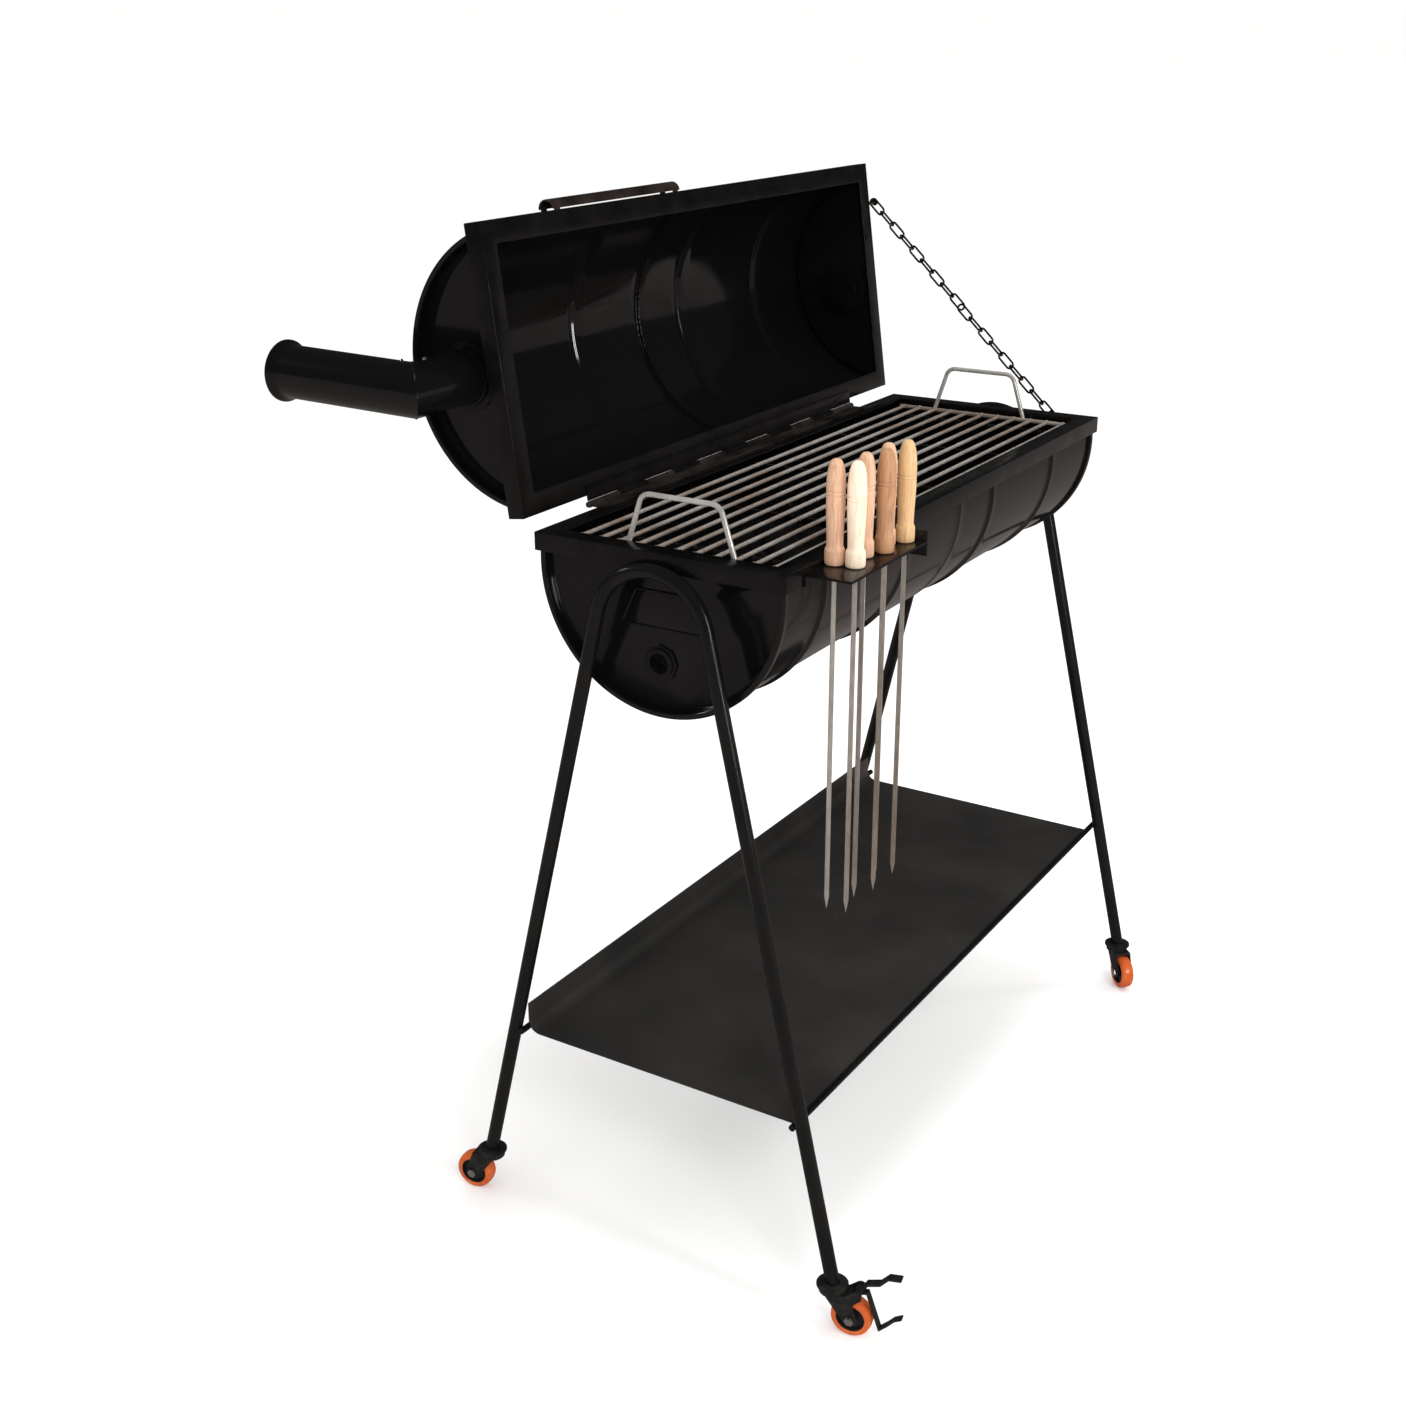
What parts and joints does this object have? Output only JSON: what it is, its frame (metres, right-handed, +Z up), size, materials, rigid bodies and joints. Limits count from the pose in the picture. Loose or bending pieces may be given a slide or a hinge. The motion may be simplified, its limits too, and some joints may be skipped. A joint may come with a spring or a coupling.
{
  "type": "barrel charcoal grill",
  "caption": "Barrel charcoal grill with a hinged half-drum lid on a stay chain, end chimney, lift-out grate, hanging skewers, tray and a bent-tube stand on swivel casters.",
  "frame": {"origin": "middle of the footprint's bounding box, on the floor", "axes": "+Z up, X along the drum with the chimney end at -X, +Y towards the hinge side"},
  "size_m": [1.0554, 0.7864, 1.2453],
  "materials": {
    "drum_enamel": "glossy black enamel",
    "frame_black": "satin black paint",
    "tube_black": "semi-gloss black paint",
    "tray_dark": "satin dark grey paint",
    "hinge_steel": "brown scale",
    "chain_steel": "dull",
    "grip_metal": "glossy brown black",
    "grate_steel": "heat stained",
    "grate_dark": "dull",
    "handle_steel": "polished",
    "caster_black": "satin black",
    "axle_zinc": "bright zinc",
    "hub_plastic": "matte black",
    "tread_orange": "glossy orange polyurethane",
    "wood_pink": "varnished pinkish tan",
    "wood_brown": "varnished brown",
    "wood_cream": "varnished cream",
    "wood_yellow": "varnished yellow tan",
    "blade_steel": "dull"
  },
  "bodies": {
    "root": {"base_shell": "drum_enamel", "base_head_near": "drum_enamel", "base_head_far": "drum_enamel", "base_bung_flange": "frame_black", "rim_frame": "frame_black", "grate_rests": "frame_black", "leg_frame_near": "tube_black", "leg_frame_far": "tube_black", "shelf_tray": "tray_dark", "shelf_rods": "tube_black", "skewer_rack": "frame_black", "hinge_base_leaf": "hinge_steel", "hinge_pin": "hinge_steel", "chain_anchor_base": "chain_steel", "caster_cups": "caster_black"},
    "lid": {"lid_shell": "drum_enamel", "lid_head_near": "drum_enamel", "lid_head_far": "drum_enamel", "lid_rim_frame": "frame_black", "lid_grip": "grip_metal", "lid_bung_fitting": "frame_black", "chimney_collar": "frame_black", "chimney_elbow": "drum_enamel", "chimney_pipe": "drum_enamel", "hinge_lid_leaf": "frame_black", "chain_anchor_lid": "chain_steel"},
    "chain_lower": {"chain_lower": "chain_steel"},
    "chain_upper": {"chain_upper": "chain_steel"},
    "grate": {"grate_rods": "grate_steel", "grate_cross_bars": "grate_dark", "grate_handles": "handle_steel"},
    "skewer_1": {"skewer_1_handle": "wood_pink", "skewer_1_blade": "blade_steel"},
    "skewer_2": {"skewer_2_handle": "wood_cream", "skewer_2_blade": "blade_steel"},
    "skewer_3": {"skewer_3_handle": "wood_pink", "skewer_3_blade": "blade_steel"},
    "skewer_4": {"skewer_4_handle": "wood_brown", "skewer_4_blade": "blade_steel"},
    "skewer_5": {"skewer_5_handle": "wood_pink", "skewer_5_blade": "blade_steel"},
    "skewer_6": {"skewer_6_handle": "wood_yellow", "skewer_6_blade": "blade_steel"},
    "caster_nf_swivel": {"caster_nf_fork": "caster_black", "caster_nf_axle": "axle_zinc"},
    "caster_nf_wheel": {"caster_nf_hub": "hub_plastic", "caster_nf_tread": "tread_orange"},
    "caster_nb_swivel": {"caster_nb_fork": "caster_black", "caster_nb_axle": "axle_zinc"},
    "caster_nb_wheel": {"caster_nb_hub": "hub_plastic", "caster_nb_tread": "tread_orange"},
    "caster_ff_swivel": {"caster_ff_fork": "caster_black", "caster_ff_axle": "axle_zinc"},
    "caster_ff_wheel": {"caster_ff_hub": "hub_plastic", "caster_ff_tread": "tread_orange"},
    "caster_fb_swivel": {"caster_fb_fork": "caster_black", "caster_fb_axle": "axle_zinc"},
    "caster_fb_wheel": {"caster_fb_hub": "hub_plastic", "caster_fb_tread": "tread_orange"},
    "brake": {"caster_brake_pedal": "caster_black"}
  },
  "joints": [
    {"name": "lid_hinge", "type": "hinge", "parent": "root", "child": "lid", "pos_m": [0.03225, 0.1153, 0.9023], "axis": [-1, 0, 0], "range_deg": [-97.84, 0]},
    {"name": "chain_lower_fold", "type": "hinge", "parent": "root", "child": "chain_lower", "pos_m": [0.51625, -0.1352, 0.889], "axis": [1, 0, 0], "range_deg": [-142.59, 1]},
    {"name": "chain_upper_fold", "type": "hinge", "parent": "lid", "child": "chain_upper", "pos_m": [0.51625, 0.16573, 1.17547], "axis": [1, 0, 0], "range_deg": [-60.43, 1]},
    {"name": "grate_lift", "type": "slide", "parent": "root", "child": "grate", "axis": [0, 0, 1], "range_m": [0, 0.25]},
    {"name": "skewer_1_lift", "type": "slide", "parent": "root", "child": "skewer_1", "axis": [0, 0, 1], "range_m": [0, 0.43]},
    {"name": "skewer_2_lift", "type": "slide", "parent": "root", "child": "skewer_2", "axis": [0, 0, 1], "range_m": [0, 0.43]},
    {"name": "skewer_3_lift", "type": "slide", "parent": "root", "child": "skewer_3", "axis": [0, 0, 1], "range_m": [0, 0.43]},
    {"name": "skewer_4_lift", "type": "slide", "parent": "root", "child": "skewer_4", "axis": [0, 0, 1], "range_m": [0, 0.43]},
    {"name": "skewer_5_lift", "type": "slide", "parent": "root", "child": "skewer_5", "axis": [0, 0, 1], "range_m": [0, 0.43]},
    {"name": "skewer_6_lift", "type": "slide", "parent": "root", "child": "skewer_6", "axis": [0, 0, 1], "range_m": [0, 0.43]},
    {"name": "caster_nf_swivel_turn", "type": "hinge", "parent": "root", "child": "caster_nf_swivel", "pos_m": [-0.44425, -0.3082, 0.056], "axis": [0, 0, 1], "continuous": true},
    {"name": "caster_nf_wheel_spin", "type": "hinge", "parent": "caster_nf_swivel", "child": "caster_nf_wheel", "pos_m": [-0.43991, -0.33282, 0.025], "axis": [0.9848, 0.1736, 0], "continuous": true},
    {"name": "caster_nb_swivel_turn", "type": "hinge", "parent": "root", "child": "caster_nb_swivel", "pos_m": [-0.44425, 0.1938, 0.056], "axis": [0, 0, 1], "continuous": true},
    {"name": "caster_nb_wheel_spin", "type": "hinge", "parent": "caster_nb_swivel", "child": "caster_nb_wheel", "pos_m": [-0.44816, 0.21849, 0.025], "axis": [-0.9877, -0.1564, 0], "continuous": true},
    {"name": "caster_ff_swivel_turn", "type": "hinge", "parent": "root", "child": "caster_ff_swivel", "pos_m": [0.50875, -0.3082, 0.056], "axis": [0, 0, 1], "continuous": true},
    {"name": "caster_ff_wheel_spin", "type": "hinge", "parent": "caster_ff_swivel", "child": "caster_ff_wheel", "pos_m": [0.49107, -0.32588, 0.025], "axis": [0.7071, -0.7071, 0], "continuous": true},
    {"name": "caster_fb_swivel_turn", "type": "hinge", "parent": "root", "child": "caster_fb_swivel", "pos_m": [0.50875, 0.1938, 0.056], "axis": [0, 0, 1], "continuous": true},
    {"name": "caster_fb_wheel_spin", "type": "hinge", "parent": "caster_fb_swivel", "child": "caster_fb_wheel", "pos_m": [0.5002, 0.21729, 0.025], "axis": [-0.9397, -0.342, 0], "continuous": true},
    {"name": "brake_press", "type": "hinge", "parent": "caster_nf_swivel", "child": "brake", "pos_m": [-0.43869, -0.33972, 0.059], "axis": [0.9848, 0.1736, 0], "range_deg": [0, 3]}
  ],
  "couplings": [
    {"joint": "chain_lower_fold", "follows": "lid_hinge", "ratio": 1.4472},
    {"joint": "chain_upper_fold", "follows": "lid_hinge", "ratio": 0.60742}
  ]
}
